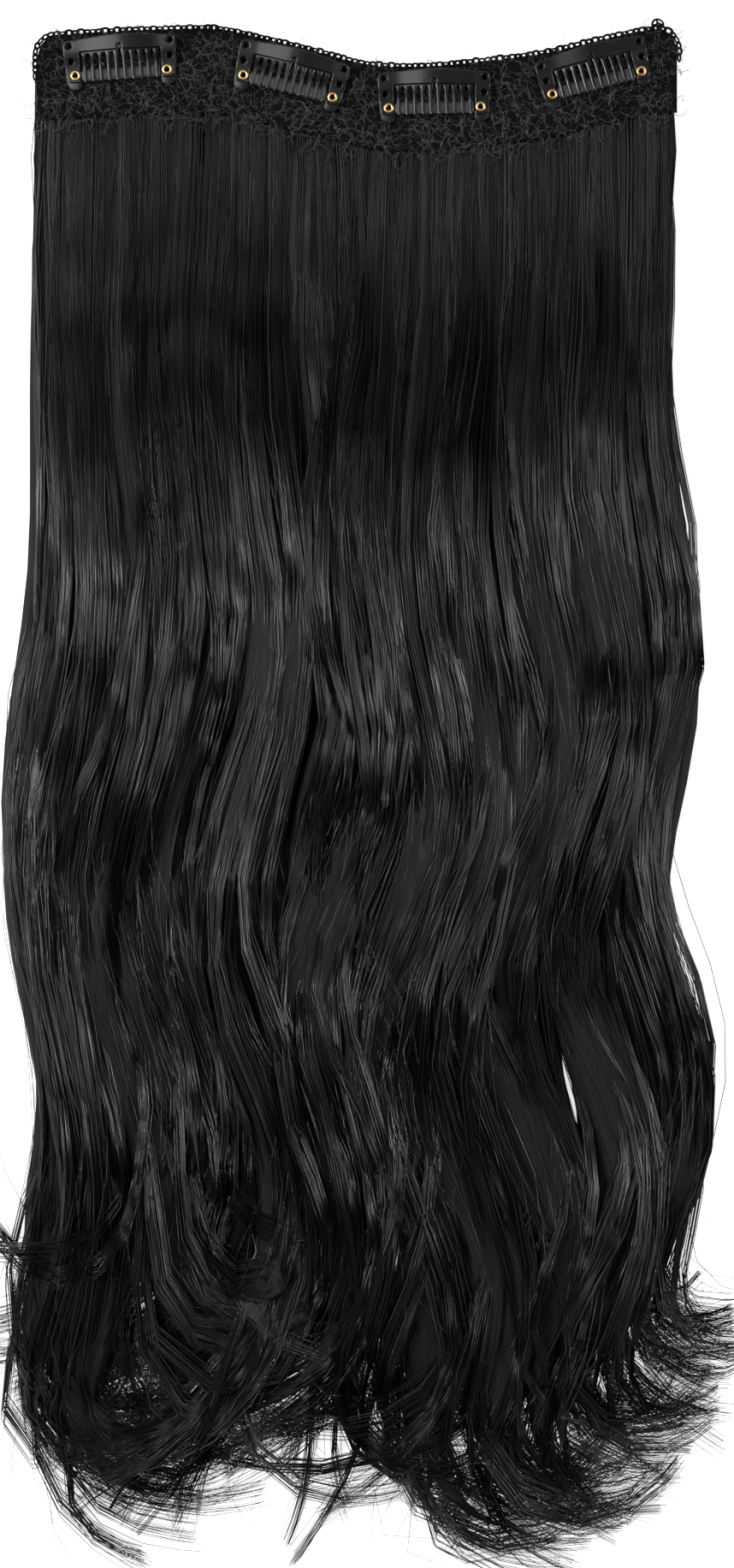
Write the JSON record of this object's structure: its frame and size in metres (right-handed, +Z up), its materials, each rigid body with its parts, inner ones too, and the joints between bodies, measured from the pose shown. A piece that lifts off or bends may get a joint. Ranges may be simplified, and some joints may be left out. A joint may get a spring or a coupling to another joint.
{
  "type": "clip-in hair extension weft",
  "caption": "Long wavy hair on a curved net band with a crocheted top edge and a row of snap clips, laid flat with its clips up.",
  "frame": {"origin": "on the surface that the weft lies on, under the middle of its bounding box", "axes": "+X along the band to the right, +Y from the tips of the hair to the band, +Z up, out of the clips' faces"},
  "size_m": [0.2302, 0.4778, 0.0175],
  "materials": {
    "hair": "satin synthetic hair fibre, near black",
    "net": "crinkled black net and crochet thread",
    "lacquered_steel": "glossy black lacquer",
    "sleeve_rubber": "satin dark grey silicone",
    "eyelet_brass": "polished brass"
  },
  "bodies": {
    "weft": {"hair_fall": "hair", "net_band": "net", "edge_cord": "net", "clip_1_back_frame": "lacquered_steel", "clip_1_sleeve": "sleeve_rubber", "clip_1_plate": "lacquered_steel", "clip_1_eyelet_left": "eyelet_brass", "clip_1_eyelet_right": "eyelet_brass", "clip_2_back_frame": "lacquered_steel", "clip_2_sleeve": "sleeve_rubber", "clip_2_plate": "lacquered_steel", "clip_2_eyelet_left": "eyelet_brass", "clip_2_eyelet_right": "eyelet_brass", "clip_3_back_frame": "lacquered_steel", "clip_3_sleeve": "sleeve_rubber", "clip_3_plate": "lacquered_steel", "clip_3_eyelet_left": "eyelet_brass", "clip_3_eyelet_right": "eyelet_brass", "clip_4_back_frame": "lacquered_steel", "clip_4_sleeve": "sleeve_rubber", "clip_4_plate": "lacquered_steel", "clip_4_eyelet_left": "eyelet_brass", "clip_4_eyelet_right": "eyelet_brass"},
    "comb_1": {"clip_1_comb": "lacquered_steel"},
    "comb_2": {"clip_2_comb": "lacquered_steel"},
    "comb_3": {"clip_3_comb": "lacquered_steel"},
    "comb_4": {"clip_4_comb": "lacquered_steel"}
  },
  "joints": [
    {"name": "comb_1_snap", "type": "hinge", "parent": "weft", "child": "comb_1", "pos_m": [-0.07942, 0.23013, 0.00805], "axis": [-0.9976, -0.0698, 0], "range_deg": [0, 30]},
    {"name": "comb_2_snap", "type": "hinge", "parent": "weft", "child": "comb_2", "pos_m": [-0.02491, 0.2257, 0.00805], "axis": [-0.9703, 0.2419, 0], "range_deg": [0, 30]},
    {"name": "comb_3_snap", "type": "hinge", "parent": "weft", "child": "comb_3", "pos_m": [0.01925, 0.21926, 0.00805], "axis": [-0.9998, -0.0175, 0], "range_deg": [0, 30]},
    {"name": "comb_4_snap", "type": "hinge", "parent": "weft", "child": "comb_4", "pos_m": [0.06842, 0.22679, 0.00805], "axis": [-0.9681, -0.2504, 0], "range_deg": [0, 30]}
  ]
}
